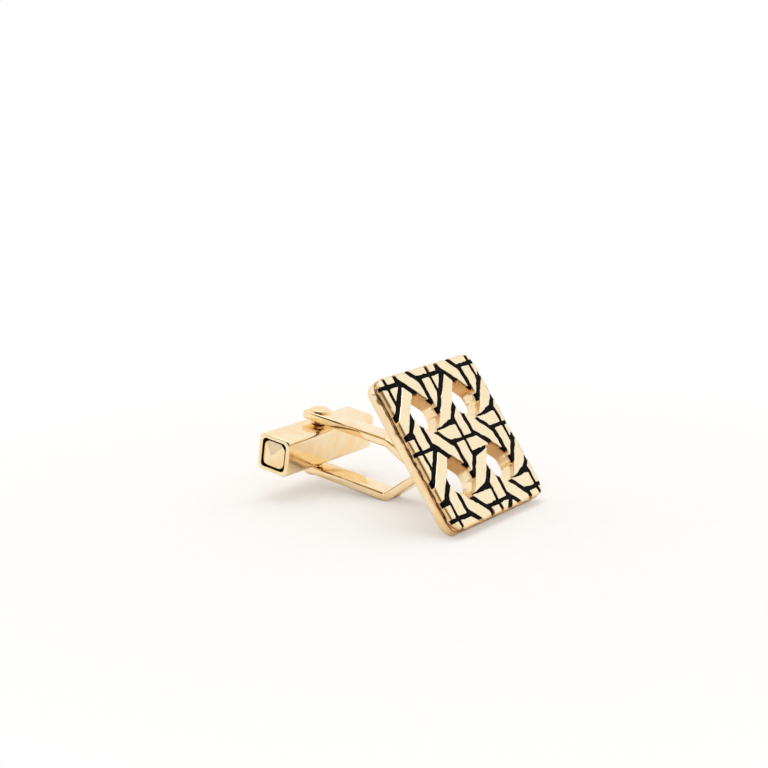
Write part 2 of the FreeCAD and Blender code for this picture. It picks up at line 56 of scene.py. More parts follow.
# Plaque plate: a square of gold-plated brass with rounded corners, cast with four eyes through it and
# polished on a wheel. The weave is soldered to its front and the arms' feet are set into its back.
# Sizes are in millimetres, in the plaque's own frame: +X out of the face, +Z up the plaque.
plaque_half = 8.0
corner_radius = 1.3
plate_front = 1.25
back_round = 0.35
seam_round = 0.08
cane_pitch = 6.93
strand_width = 1.27
slant_width = 1.25
pair_gap = 0.42
pair_half = strand_width + pair_gap / 2
eye_half = cane_pitch / 2 - pair_half
eye_chamfer = 2 * eye_half - cane_pitch / 2 + slant_width / math.sqrt(2)
eye_round = 0.12
eye_soften = 0.4
eye_crisp = 0.02
corner_steps = 8
round_steps = 4
side_cuts = 80
eye_cuts = 5
hand_wobble = 0.13
hand_seed = 3
rim_hold = 0.8
seam_inset = 0.06
seam_reach = 0.09
seam_bite = 0.3
seam_wander = 0.16
wander_below = 0.5
wander_above = 0.2
sway_scale = 0.8
ripple_scale = 2.6
ripple_share = 0.7
ripple_slice = 7
bite_scale = 1.3
bite_more = 0.12
nick_scale = 2.2
nick_share = 0.3
wander_scale = 0.9
wander_slice = 3
waver_scale = 2.1
waver_share = 0.4
wall_starts = 0.7
wall_full = 0.4
# the roofs of the eyes, which carry a painted brown reflection
roof_starts = 0.5
roof_full = 0.68
roof_back = 0.03
roof_front = 0.2
wear_behind = 0.06
crack_ahead = 0.04
crack_wander = 0.2
# where the painted orange reflection lies on the plate's outer wall, darker towards the bottom
painted_reflection_back = 0.6
painted_reflection_front = 1.15
painted_reflection_low = -5.0
painted_reflection_high = 3.0
polish_rough = 0.05
yellow_gold = (0.95, 0.70, 0.385, 1.0)
pale_gold = (0.97, 0.80, 0.535, 1.0)
# the cast skin's brown, also used for painted reflections on the eye roofs and low on the outer wall
cast_skin_and_painted_reflection = (0.80, 0.45, 0.18, 1.0)
# tarnish, also the painted shadow line along the top of each eye's roof
tarnish_and_painted_shade = (0.16, 0.075, 0.03, 1.0)

to_metres = Matrix.Scale(0.001, 4)
cuff_seat = next(m for m in frame["record"]["mounts"] if m["name"] == "cuff_seat")
rest_tilt = math.atan2(-cuff_seat["axis"][2], -cuff_seat["axis"][0])
on_plaque = Matrix.Rotation(-rest_tilt, 4, "Y") @ to_metres
# turns what is drawn flat, right and up, into the plaque's face
in_face = Matrix(((0, 0, 1, 0), (1, 0, 0, 0), (0, 1, 0, 0), (0, 0, 0, 1)))


def outline(bm, half, corners, place, cuts=0):
    """The edges of a square with its corners taken off in turn, each by a length in a number of steps.

    The straight sides that are left can be cut into pieces.
    """
    shortest_side = 0.5
    known = set(bm.edges)
    tips = bmesh.ops.create_grid(bm, x_segments=1, y_segments=1, size=half, matrix=place)["verts"]
    for length, steps in corners:
        tips = bmesh.ops.bevel(bm, geom=tips, offset=length, offset_type="OFFSET", segments=steps,
                               profile=0.5, affect="VERTICES", material=-1)["verts"]
    ring = [edge for edge in bm.edges if edge not in known]
    filling = list({face for edge in ring for face in edge.link_faces})
    bmesh.ops.delete(bm, geom=filling, context="FACES_ONLY")
    straight = [edge for edge in ring if edge.calc_length() > shortest_side]
    if cuts:
        bmesh.ops.subdivide_edges(bm, edges=straight, cuts=cuts)
    return [edge for edge in bm.edges if edge not in known]


def past_core(spot):
    """How far and which way a point lies past the square between the middles of the weave's corners."""
    flat = plaque_half - seam_inset - corner_radius
    return Vector((0, *(math.copysign(max(abs(reach) - flat, 0), reach) for reach in spot.yz)))


def inside_rim(spot):
    """How far a point lies inside the outline of the weave, as far as it lies near it."""
    return corner_radius - past_core(spot).length


def by_hand(spot):
    """How far the carver's hand is off at a point of the face, less so near the rim and none at the back."""
    sway = noise.noise_vector(Vector((0, spot.y, spot.z)) * sway_scale)
    ripple = noise.noise_vector(Vector((ripple_slice, spot.y, spot.z)) * ripple_scale)
    loose = min(max(inside_rim(spot) / rim_hold, 0), 1) * min(max(spot.x / plate_front, 0), 1)
    return (sway + ripple * ripple_share) * Vector((0, loose * hand_wobble, loose * hand_wobble))


def rounded_wall(back, front, at_back, at_front):
    """Insets and heights of the rings that make a wall, with its edges rounded where they have a radius.

    One more ring keeps what is done to a rounded front edge from spreading down the wall.
    """
    quarter = [math.pi / 2 * k / round_steps for k in range(round_steps + 1)]
    lower = [(at_back * (1 - math.sin(turn)), back + at_back * (1 - math.cos(turn))) for turn in quarter]
    upper = [(at_front * (1 - math.cos(turn)), front - at_front * (1 - math.sin(turn))) for turn in quarter]
    upper = [(0, front - 2 * at_front)] + upper if at_front else [(0, front)]
    return (lower if at_back else [(0, back)]) + upper


def pierced_plate(bm, half, radius, back, front, at_back, at_front, eye_back, soften, wider=0.0):
    """A plate of the plaque's outline with the four eyes through it, its outer edges rounded.

    The eyes widen at the back by a radius, and their corners soften from the front to the back.
    """
    walls = [[
        outline(bm, half - inset, [(radius - inset, corner_steps)],
                Matrix.Translation((height, 0, 0)) @ in_face, side_cuts)
        for inset, height in rounded_wall(back, front, at_back, at_front)
    ]]
    for across in (-cane_pitch / 2, cane_pitch / 2):
        for up in (-cane_pitch / 2, cane_pitch / 2):
            rings = []
            for step, height in rounded_wall(back, front, eye_back, 0):
                inset = step + wider
                soft = eye_crisp + (soften - eye_crisp) * (front - height) / (front - back)
                corners = [(eye_chamfer + (2 - math.sqrt(2)) * inset, 1), (soft, round_steps)]
                place = Matrix.Translation((height, across, up)) @ in_face
                rings.append(outline(bm, eye_half + inset, corners, place, eye_cuts))
            walls.append(rings)
    for rings in walls:
        for lower, upper in zip(rings, rings[1:]):
            bmesh.ops.bridge_loops(bm, edges=lower + upper)
    for end in (0, -1):
        edges = [edge for rings in walls for edge in rings[end]]
        bmesh.ops.triangle_fill(bm, use_beauty=True, edges=edges, normal=(1, 0, 0))
    for vert in bm.verts:
        vert.co += by_hand(vert.co)


def rough_seam(bm):
    """Eats small bites into the outer wall beside the soldered seam, and lets the seam wander."""
    for vert in bm.verts:
        off_seam = vert.co.x - plate_front
        if inside_rim(vert.co) > 2 * seam_round:
            continue
        near = max(1 - abs(off_seam) / seam_reach, 0)
        rough = noise.noise(vert.co * bite_scale) + nick_share * noise.noise(vert.co * nick_scale)
        bite = max(rough + bite_more, 0) * near
        spot = Vector((wander_slice, vert.co.y, vert.co.z))
        sway = noise.noise(spot * wander_scale) + waver_share * noise.noise(spot * waver_scale)
        spread = wander_above if off_seam > 0 else wander_below
        vert.co -= past_core(vert.co).normalized() * bite * seam_bite
        vert.co.x += sway * seam_wander * max(1 - abs(off_seam) / spread, 0)


def set_out(name, data):
    """An object in the scene that holds a mesh, a lamp or a camera."""
    made = bpy.data.objects.new(name, data)
    bpy.context.scene.collection.objects.link(made)
    return made


def finish_piece(name, bm, place, crease):
    """Makes the piece from its mesh, laid down in metres, with edges sharper than the crease kept sharp."""
    weld = 0.0005
    bmesh.ops.remove_doubles(bm, verts=bm.verts, dist=weld)
    bmesh.ops.recalc_face_normals(bm, faces=bm.faces)
    bmesh.ops.transform(bm, matrix=place, verts=bm.verts)
    mesh = bpy.data.meshes.new(name)
    bm.to_mesh(mesh)
    bm.free()
    mesh.shade_smooth()
    mesh.set_sharp_from_angle(angle=math.radians(crease))
    return set_out(name, mesh)


class Flow:
    """A value, colour or vector that runs through the nodes of a finish."""

    def __init__(self, tree, socket):
        self.tree = tree
        self.socket = socket

    def node(self, kind, settings, inputs, output=0):
        """Adds a node, set up first and then fed with values or flows, and gives one of its outputs."""
        made = self.tree.nodes.new(kind)
        for name, setting in settings.items():
            setattr(made, name, setting)
        for name, feed in inputs.items():
            if isinstance(feed, Flow):
                self.tree.links.new(feed.socket, made.inputs[name])
            else:
                made.inputs[name].default_value = feed
        return Flow(self.tree, made.outputs[output] if made.outputs else None)

    def math(self, operation, *terms):
        return self.node("ShaderNodeMath", {"operation": operation}, dict(enumerate(terms)))

    def __add__(self, other):
        return self.math("ADD", self, other)

    def __sub__(self, other):
        return self.math("SUBTRACT", self, other)

    def __rsub__(self, other):
        return self.math("SUBTRACT", other, self)

    def __mul__(self, other):
        return self.math("MULTIPLY", self, other)

    __radd__ = __add__
    __rmul__ = __mul__

    def away_from(self, place):
        return self.math("ABSOLUTE", self - place)

    def clamped(self):
        return self.node("ShaderNodeClamp", {}, {0: self})

    def ramp(self, low, high):
        """A smooth step from 0 at the low end to 1 at the high end."""
        ends = {"Value": self, "From Min": low, "From Max": high}
        return self.node("ShaderNodeMapRange", {"interpolation_type": "SMOOTHSTEP"}, ends)

    def mix(self, plain, full):
        """A colour between two, with this value as its share of the second."""
        return self.node("ShaderNodeMix", {"data_type": "RGBA"}, {0: self, 6: plain, 7: full}, 2)

    def grain(self, scale, detail=2.0, stretch=(1.0, 1.0, 1.0)):
        """Noise at a scale per millimetre on this point of the surface, drawn out along its axes."""
        drawn = self.node("ShaderNodeVectorMath", {"operation": "MULTIPLY"}, {0: self, 1: stretch})
        return self.node("ShaderNodeTexNoise", {}, {"Vector": drawn, "Scale": scale, "Detail": detail})

    def part(self, axis):
        return self.node("ShaderNodeSeparateXYZ", {}, {0: self}, axis)

    def by_rim(self):
        """1 on the plaque's outer wall and 0 on the walls of its eyes."""
        across, up = self.part("Y").away_from(0.0), self.part("Z").away_from(0.0)
        outwards = self.math("MAXIMUM", across, up)
        return outwards.ramp(plaque_half - wall_starts, plaque_half - wall_full)

    def eye_roof(self):
        """1 on the roof of each eye and 0 elsewhere on its walls and on the plaque's outer wall."""
        up = self.math("FLOORED_MODULO", self.part("Z"), cane_pitch) - cane_pitch / 2
        roof = up.ramp(roof_starts, roof_full) * (1 - self.by_rim())
        return roof * self.part("X").ramp(roof_back, roof_front)


def new_finish(name, place):
    """An empty material, and the point of the surface in the millimetres of the piece's own frame."""
    finish = bpy.data.materials.new(name)
    finish.use_nodes = True
    finish.node_tree.nodes.clear()
    start = Flow(finish.node_tree, None)
    point = start.node("ShaderNodeTexCoord", {}, {}, "Object")
    back = place.inverted()
    moves = {"Location": back.translation, "Rotation": back.to_euler(), "Scale": back.to_scale()}
    return finish, start.node("ShaderNodeMapping", {}, {"Vector": point, **moves})


def lay_finish(point, sockets, strength, depth, height):
    """Ends a finish: the shader with its sockets, and the relief that a height gives it."""
    relief = {"Strength": strength, "Distance": depth, "Height": height}
    normal = point.node("ShaderNodeBump", {}, relief)
    shader = point.node("ShaderNodeBsdfPrincipled", {}, {**sockets, "Normal": normal})
    point.node("ShaderNodeOutputMaterial", {}, {"Surface": shader})


def polished_gold(name, place, along=(1.0, 1.0, 1.0), seam=None):
    """Wheel-polished gold plate: faint polishing lines, smears and pin pricks.

    The plaque's has a crack, pits and patches by its soldered seam, and painted reflections low on its wall and on
    its eye roofs.
    """
    finish, point = new_finish(name, place)
    smear = point.grain(scale=0.45, detail=3.0).ramp(low=0.3, high=0.65)
    lines = point.grain(scale=22.0, detail=2.0, stretch=along)
    pricks = point.grain(scale=7.5, detail=1.0).ramp(low=0.77, high=0.81)
    waves = point.grain(scale=0.8, detail=1.0)
    wear = pricks
    if seam is not None:
        by_seam = point.by_rim() * (1 - point.part("X").away_from(seam).ramp(low=0.02, high=0.2))
        wander = point.part("X") + point.grain(scale=1.2, detail=3.0) * crack_wander
        crack = point.by_rim() * (1 - wander.away_from(seam + crack_ahead).ramp(low=0.025, high=0.07))
        wear = pricks + crack * point.grain(scale=0.9, detail=2.0).ramp(low=0.3, high=0.5)
        seam_pits = (point.grain(scale=2.6, detail=3.0) + by_seam * 0.2).ramp(low=0.7, high=0.8) * by_seam
        eye_pits = point.grain(scale=3.0, detail=3.0).ramp(low=0.66, high=0.74) * (1 - point.by_rim())
        wear = wear + seam_pits + eye_pits * 0.7
    wear = wear.clamped()
    bright = smear.mix(yellow_gold, pale_gold)
    if seam is not None:
        # painted reflection: the downward eye roofs are painted the brown they would mirror from the shaded card
        # and gold below
        bright = (point.eye_roof() * (0.6 + smear * 0.4)).mix(bright, cast_skin_and_painted_reflection)
        patina = point.grain(scale=0.3, detail=2.0, stretch=(3.0, 1.0, 0.7)).ramp(low=0.5, high=0.75)
        bright = (patina * 0.25).mix(bright, cast_skin_and_painted_reflection)
        patches = (point.grain(scale=1.8, detail=3.0) + by_seam * 0.25).ramp(low=0.6, high=0.8)
        bright = (patches * by_seam).mix(bright, cast_skin_and_painted_reflection)
        # painted reflection: orange low down on the outer wall near the seam, as from gold standing in front of it
        stain_and_painted_reflection = point.part("X").ramp(painted_reflection_back, painted_reflection_front)
        stain_and_painted_reflection = stain_and_painted_reflection * (1 - point.part("Z").ramp(painted_reflection_low, painted_reflection_high)) * point.by_rim()
        bright = (stain_and_painted_reflection * (0.4 + point.grain(scale=0.7, detail=2.0) * 0.9)).mix(bright, cast_skin_and_painted_reflection)
    colour = (wear * 0.8).mix(bright, tarnish_and_painted_shade)
    rough = polish_rough + smear * 0.05 + lines * 0.05 + wear * 0.3
    height = waves * 0.8 + lines * 0.06 - wear * 0.9
    metal = {"Base Color": colour, "Metallic": 1.0, "Roughness": rough}
    lay_finish(point, metal, strength=0.35, depth=0.00003, height=height)
    return finish


noise.seed_set(hand_seed)
bm = bmesh.new()
pierced_plate(bm, plaque_half, corner_radius, 0, plate_front, back_round, seam_round, eye_round, eye_soften)
rough_seam(bm)
plaque_plate = finish_piece("plaque_plate", bm, on_plaque, crease=35)
polished_plate = polished_gold("polished_plate", on_plaque, along=(0.05, 1.0, 1.0),
                               seam=plate_front - wear_behind)
plaque_plate.data.materials.append(polished_plate)
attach(plaque_plate, "frame")
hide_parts("plaque_base")

# Weave: an openwork relief of flat cane strands, level and upright in pairs and slanted both ways, cast in
# gold on a thin web. Its face is rubbed pale on a stone, each strand dips where it goes under the next, and
# the web is soldered on the plate.
web_front = 1.45
face_front = 1.85
dive_gap = 0.57
tuck_gap = 0.2
slant_reach = 3.7
strand_round = 0.12
weave_round = 0.22
dip_reach = 0.7
dip_depth = 0.03
piece_length = 0.3
corner_soft = 0.14
corner_share = 0.2
round_share = 0.1
soft_steps = 3
rim_facets = 32
cut_slack = 1e-5
wear_ahead = 0.05
# where the painted highlight lies, on the rounded shoulders just below the strands' tops
edge_starts = 0.06
edge_ends = 0.01
# where the painted shadow line runs on each eye's roof, just below the strands' faces
line_back = (1.52, 1.62)
line_front = (1.74, 1.8)
line_share = 0.85
rubbed_rough = 0.22
edge_highlight_gold = (0.99, 0.91, 0.72, 1.0)
rubbed_gold = (0.98, 0.86, 0.615, 1.0)
dull_gold = (0.86, 0.62, 0.33, 1.0)


def face_cut(strip, middle, direction, limit, clear):
    """Cuts a flat strip across, where its reach from the middle in a direction comes to the limit."""
    way = Vector((0, *direction))
    spot = Vector((0, *middle)) + way * (limit / way.length_squared)
    whole = strip.verts[:] + strip.edges[:] + strip.faces[:]
    bmesh.ops.bisect_plane(strip, geom=whole, dist=cut_slack, plane_co=spot, plane_no=way, clear_outer=clear)


def rim_cut(strip, inset, clear):
    """Cuts a flat strip all round along the weave's outline, or a little inside it."""
    flat = plaque_half - seam_inset - corner_radius
    for step in range(rim_facets):
        c, s = math.cos(math.tau / rim_facets * step), math.sin(math.tau / rim_facets * step)
        face_cut(strip, (0, 0), (c, s), flat * (abs(c) + abs(s)) + corner_radius - inset, clear)


def lay_strand(weave, middle, turn, width, ends, cuts):
    """Adds a strand that runs at a turn from upright past the middle, from one end to the other.

    Each cut takes off what reaches past a limit in a direction, and the strand dips towards it.
    """
    strip = bmesh.new()
    bmesh.ops.create_grid(strip, x_segments=1, y_segments=1, size=0.5, matrix=in_face)
    bmesh.ops.scale(strip, vec=(1, width, ends[1] - ends[0]), verts=strip.verts)
    bmesh.ops.translate(strip, vec=(0, 0, (ends[0] + ends[1]) / 2), verts=strip.verts)
    bmesh.ops.rotate(strip, cent=(0, 0, 0), matrix=Matrix.Rotation(turn, 3, "X"), verts=strip.verts)
    bmesh.ops.translate(strip, vec=(web_front, *middle), verts=strip.verts)
    for direction, limit in cuts:
        face_cut(strip, middle, direction, limit, True)
    rim_cut(strip, 0, True)
    if not strip.faces:
        strip.free()
        return
    breadth = math.sqrt(sum(face.calc_area() for face in strip.faces))
    tips = [vert for vert in strip.verts if inside_rim(vert.co) > corner_soft]
    bmesh.ops.bevel(strip, geom=tips, offset=min(corner_soft, corner_share * breadth), offset_type="OFFSET",
                    segments=soft_steps, profile=0.5, affect="VERTICES", clamp_overlap=True, material=-1)
    rim_cut(strip, weave_round, False)
    run = (-math.sin(turn), math.cos(turn))
    for step in range(1, int((ends[1] - ends[0]) / piece_length) + 1):
        face_cut(strip, middle, run, ends[0] + step * piece_length, False)
    raised = bmesh.ops.extrude_face_region(strip, geom=strip.faces[:])["geom"]
    top = [item for item in raised if isinstance(item, bmesh.types.BMFace)]
    tops = [item for item in raised if isinstance(item, bmesh.types.BMVert)]
    bmesh.ops.translate(strip, vec=(face_front - web_front, 0, 0), verts=tops)
    shoulders = [edge for face in top for edge in face.edges if any(f not in top for f in edge.link_faces)]
    bmesh.ops.bevel(strip, geom=shoulders, offset=min(strand_round, round_share * breadth),
                    offset_type="OFFSET", segments=soft_steps, profile=0.5, affect="EDGES",
                    clamp_overlap=True, material=-1)
    for vert in strip.verts:
        short = max(weave_round - inside_rim(vert.co), 0)
        rounded = face_front - weave_round + math.sqrt(max(weave_round ** 2 - short ** 2, 0))
        vert.co.x = min(vert.co.x, rounded)
        raised_share = (vert.co.x - web_front) / (face_front - web_front)
        from_middle = Vector((vert.co.y - middle[0], vert.co.z - middle[1]))
        for direction, limit in cuts:
            way = Vector(direction)
            to_cut = (limit - from_middle.dot(way)) / way.length
            near_cut = max(0, 1 - to_cut / dip_reach)
            vert.co.x -= dip_depth * near_cut * near_cut * raised_share
        vert.co += by_hand(vert.co)
    strand = bpy.data.meshes.new("strand")
    strip.to_mesh(strand)
    strip.free()
    weave.from_mesh(strand)
    bpy.data.meshes.remove(strand)


def lay_weave(weave):
    """Lays every strand that shows: pairs about each crossing, and slanted strands between the crossings."""
    half_pitch = cane_pitch / 2
    half_slant = slant_width / 2
    low_end = half_pitch - pair_half - tuck_gap
    slope = (dive_gap - tuck_gap) / (slant_width * math.sqrt(2))
    tuck = low_end - slope * (low_end + half_slant * math.sqrt(2))
    side_end = half_pitch - pair_half - dive_gap
    dive = half_pitch - slant_width / math.sqrt(2) - dive_gap * math.sqrt(2)
    off_line = pair_gap / 2 + strand_width / 2
    quarter = math.pi / 2
    eighth = math.pi / 4
    reach = (-slant_reach, slant_reach)
    for column in (-1, 0, 1):
        for row in (-1, 0, 1):
            spot = Vector((column * cane_pitch, row * cane_pitch))
            # the level strand on the lower right shows whole at two crossings and as a stump at the others
            whole = (column, row) in ((0, 0), (-1, -1))
            stubs = (
                (Vector((0, off_line)), quarter, [((-1, -1), dive + off_line)]),
                (Vector((off_line, 0)), 0.0, [((-1, 1), dive + off_line)]),
                (Vector((0, -off_line)), -quarter,
                 [((1, 1), dive + off_line)] + ([] if whole else [((1, -1), dive - off_line)])),
                (Vector((-off_line, 0)), math.pi, [((1, -1), dive + off_line)]),
            )
            for offset, turn, cuts in stubs:
                lay_strand(weave, spot + offset, turn, strand_width, (pair_gap / 2, half_pitch), cuts)
        for side in (-1, 1):
            rising = [((slope, -1), tuck)]
            if column == 0 and side < 0:
                rising.append(((-slope, 1), tuck))
            lay_strand(weave, (column * cane_pitch, side * half_pitch), -eighth, slant_width, reach, rising)
            falling = [((1, 0), side_end), ((-1, 0), side_end)]
            lay_strand(weave, (side * half_pitch, column * cane_pitch), eighth, slant_width, reach, falling)
    lay_strand(weave, (0, -cane_pitch - half_pitch), -eighth, slant_width, reach, [((slope, -1), tuck)])


def rubbed_cast_gold(name, place):
    """Cast gold rubbed on a stone: matt, speckled and pitted on top, darker down the strands' sides."""
    finish, point = new_finish(name, place)
    speckle = point.grain(scale=16.0, detail=3.0)
    mottle = point.grain(scale=1.1, detail=3.0).ramp(low=0.3, high=0.7)
    pits = point.grain(scale=5.5, detail=2.0).ramp(low=0.70, high=0.76)
    up_wall = point.part("X").ramp(web_front, face_front - strand_round)
    off_seam = point.part("X").away_from(plate_front + wear_ahead)
    by_seam = point.by_rim() * (1 - off_seam.ramp(low=0.04, high=0.2))
    seam_pits = (point.grain(scale=2.2, detail=3.0) + by_seam * 0.3).ramp(low=0.68, high=0.84) * by_seam
    wear = (pits * 0.6 + seam_pits).clamped()
    pale = (speckle * 0.3 + mottle * 0.25).mix(rubbed_gold, yellow_gold)
    # painted highlight: the inner strands' rounded shoulders are painted paler than their tops
    edges = point.by_rim().mix(edge_highlight_gold, yellow_gold)
    pale = point.part("X").ramp(face_front - edge_starts, face_front - edge_ends).mix(edges, pale)
    # painted reflection: the eye roofs on the weave are painted brown, as on the plate
    walls = point.eye_roof().mix(dull_gold, cast_skin_and_painted_reflection)
    colour = (wear * 0.75).mix(up_wall.mix(walls, pale), tarnish_and_painted_shade)
    # painted shadow: a thin dark band along the top of each eye's roof, below the strands' faces
    painted_eye_shadow = point.eye_roof() * point.part("X").ramp(*line_back)
    painted_eye_shadow = painted_eye_shadow * (1 - point.part("X").ramp(*line_front))
    colour = (painted_eye_shadow * line_share).mix(colour, tarnish_and_painted_shade)
    rough = rubbed_rough + speckle * 0.16 + wear * 0.25
    height = speckle * 0.25 + mottle * 0.3 - wear
    metal = {"Base Color": colour, "Metallic": 1.0, "Roughness": rough}
    lay_finish(point, metal, strength=0.4, depth=0.00003, height=height)
    return finish


strands = bmesh.new()
lay_weave(strands)
bmesh.ops.recalc_face_normals(strands, faces=strands.faces)
bm = bmesh.new()
pierced_plate(bm, plaque_half - seam_inset, corner_radius - seam_inset, plate_front, web_front,
              seam_round, 0, 0, eye_crisp)
rough_seam(bm)
together = bpy.data.meshes.new("strands")
strands.to_mesh(together)
strands.free()
bm.from_mesh(together)
weave = finish_piece("cane_weave_relief", bm, on_plaque, crease=40)
weave.data.materials.append(rubbed_cast_gold("rubbed_weave", on_plaque))
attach(weave, "frame")
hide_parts("cane_weave")

# Black enamel: glossy fill in the recesses between the strands, fired in flush and rubbed back just below
# their tops. Its surface is slightly wavy, with a few pin holes.
enamel_rim = 0.2
enamel_eye = 0.12
enamel_depth = 0.31
fired_rough = 0.22
enamel_black = (0.0025, 0.0025, 0.0035, 1.0)
enamel_grey = (0.007, 0.007, 0.008, 1.0)


def black_enamel(name, place):
    """Fired enamel: near black, glossy and wavy, with pin holes and a thin film of polishing dust."""
    finish, point = new_finish(name, place)
    film = point.grain(scale=1.6, detail=4.0).ramp(low=0.4, high=0.75)
    holes = point.grain(scale=9.0, detail=1.0).ramp(low=0.72, high=0.78)
    colour = film.mix(enamel_black, enamel_grey)
    rough = fired_rough + film * 0.16 + holes * 0.3
    height = point.grain(scale=1.4, detail=2.0) - holes * 0.5
    glass = {"Base Color": colour, "Roughness": rough, "Specular IOR Level": 0.025}
    lay_finish(point, glass, strength=0.3, depth=0.00004, height=height)
    return finish


bm = bmesh.new()
enamel_edge = seam_inset + enamel_rim
pierced_plate(bm, plaque_half - enamel_edge, corner_radius - enamel_edge, web_front, web_front + enamel_depth,
              0, 0, 0, eye_crisp, enamel_eye)
bmesh.ops.recalc_face_normals(bm, faces=bm.faces)
flood = bpy.data.meshes.new("flood")
bm.to_mesh(flood)
bm.free()
flooded = set_out("flood", flood)
strand_stock = set_out("strands", together)
rubbed_through = flooded.modifiers.new("strands", "BOOLEAN")
rubbed_through.operation = "DIFFERENCE"
rubbed_through.solver = "EXACT"
rubbed_through.use_self = True
rubbed_through.object = strand_stock
bm = bmesh.new()
bm.from_object(flooded, bpy.context.evaluated_depsgraph_get())
for stock in (flooded, strand_stock):
    bpy.data.objects.remove(stock)
enamel = finish_piece("recess_enamel", bm, on_plaque, crease=30)
enamel.data.materials.append(black_enamel("recess_enamel", on_plaque))
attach(enamel, "frame")
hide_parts("black_enamel")

# Arms: two flat straps of half-hard gold-plated brass, bent over a former and polished, their long edges
# eased. Their feet are soldered side by side into the plate, and the rivet passes through both tips.
arm_width = 2.45
arm_thickness = 0.85
arm_ease = 0.19
bend_radius = 0.45
bend_steps = 8
foot_depth = 0.6
lower_foot = -1.34
upper_foot = -0.46
stem_length = 9.4
fork_angle = math.radians(44.0)
fork_gap = 4.7
fork_height = fork_gap + 2 * arm_thickness
pivot_distance = 10.05
arm_overhang = 1.3
arm_reach = pivot_distance + arm_overhang
parting = -2.1
shoulder = -5.05
shoulder_lift = 1.0
fork_setback = 0.9
sharp_edge = math.radians(60)


def fork_point(along, across):
    """A point along the fork from the lower bend and across it, in the plaque's frame."""
    c, s = math.cos(fork_angle), math.sin(fork_angle)
    return Vector((-stem_length - along * c + across * s, lower_foot + along * s + across * c))


def bent_strap(bm, corners):
    """A strap drawn out from its foot and bent at each corner of its underside."""
    runs = [(after - before).normalized() for before, after in zip(corners, corners[1:])]
    rises = [Vector((run.y, -run.x)) for run in runs]
    foot = corners[0] + rises[0] * arm_thickness / 2
    bmesh.ops.create_grid(bm, x_segments=1, y_segments=1, size=0.5, matrix=in_face)
    bmesh.ops.scale(bm, vec=(1, arm_width, arm_thickness), verts=bm.verts)
    bmesh.ops.translate(bm, vec=(foot.x, 0, foot.y), verts=bm.verts)
    tip = bm.faces[:]
    start = 0.0
    for k, (run, rise) in enumerate(zip(runs, rises)):
        turn, taken = 0.0, 0.0
        if k + 1 < len(runs):
            following = runs[k + 1]
            turn = math.atan2(run.y * following.x - run.x * following.y, run.dot(following))
            taken = (bend_radius + (arm_thickness if turn > 0 else 0)) * math.tan(abs(turn) / 2)
        straight = run * ((corners[k + 1] - corners[k]).length - start - taken)
        drawn = bmesh.ops.extrude_face_region(bm, geom=tip)["geom"]
        tip = [item for item in drawn if isinstance(item, bmesh.types.BMFace)]
        bmesh.ops.translate(bm, vec=(straight.x, 0, straight.y), verts=tip[0].verts[:])
        if turn:
            away = arm_thickness + bend_radius if turn > 0 else -bend_radius
            former = corners[k + 1] - run * taken + rise * away
            geom = tip + tip[0].edges[:] + tip[0].verts[:]
            bent = bmesh.ops.spin(bm, geom=geom, cent=(former.x, 0, former.y), axis=(0, 1, 0), angle=turn,
                                  steps=bend_steps)["geom_last"]
            tip = [item for item in bent if isinstance(item, bmesh.types.BMFace)]
        start = taken
    bmesh.ops.recalc_face_normals(bm, faces=bm.faces)
    sharp = [edge for edge in bm.edges if edge.calc_face_angle(0) > sharp_edge]
    bmesh.ops.bevel(bm, geom=sharp, offset=arm_ease, offset_type="OFFSET", segments=round_steps,
                    profile=0.5, affect="EDGES", material=-1)


lower_corners = [
    Vector((foot_depth, lower_foot)),
    Vector((-stem_length, lower_foot)),
    fork_point(arm_reach, 0),
]
upper_corners = [
    Vector((foot_depth, upper_foot)),
    Vector((parting, upper_foot)),
    Vector((shoulder, lower_foot + arm_thickness + shoulder_lift)),
    fork_point(fork_setback, fork_height - arm_thickness),
    fork_point(arm_reach, fork_height - arm_thickness),
]
polished_strap = polished_gold("polished_strap", on_plaque, along=(0.06, 1.0, 1.0))
for name, corners in (("lower_arm", lower_corners), ("upper_arm", upper_corners)):
    bm = bmesh.new()
    bent_strap(bm, corners)
    arm = finish_piece(name + "_strap", bm, on_plaque, crease=40)
    arm.data.materials.append(polished_strap)
    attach(arm, "frame")
    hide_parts(name)

# Rivet: a turned gold-plated pin, peened over into a low domed head outside each arm. Its shank, hidden in
# the bar, is plain here. Its frame has the origin at its middle, +Z up the pin and +X along the arms to the
# plaque.
pin_radius = 0.55
head_profile = [
    (0, 0.30), (0.45, 0.292), (0.75, 0.27), (0.93, 0.24), (1.0, 0.205), (1.03, 0.165), (1.09, 0.03),
]
turned_steps = 40
swivel = frame["joints"][0]
swing = math.atan2(swivel["axis"][0], swivel["axis"][2])
on_fork = Matrix.Translation(swivel["pos_m"]) @ Matrix.Rotation(swing, 4, "Y") @ to_metres


def turned(bm, profile):
    """Spins a profile of radii and heights all round the pin's axis."""
    points = [bm.verts.new((radius, 0, height)) for radius, height in profile]
    line = [bm.edges.new(pair) for pair in zip(points, points[1:])]
    bmesh.ops.spin(bm, geom=points + line, cent=(0, 0, 0), axis=(0, 0, 1), angle=math.tau,
                   steps=turned_steps, use_merge=True)


half_pin = [(radius, fork_height / 2 + height) for radius, height in head_profile]
half_pin += [(head_profile[-1][0], fork_height / 2), (pin_radius, fork_height / 2)]
bm = bmesh.new()
turned(bm, half_pin + [(radius, -height) for radius, height in half_pin[::-1]])
rivet = finish_piece("domed_rivet", bm, on_fork, crease=50)
rivet.data.materials.append(polished_gold("polished_rivet", on_fork, along=(1.0, 1.0, 0.2)))
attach(rivet, "frame")
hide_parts("pivot_rivet")

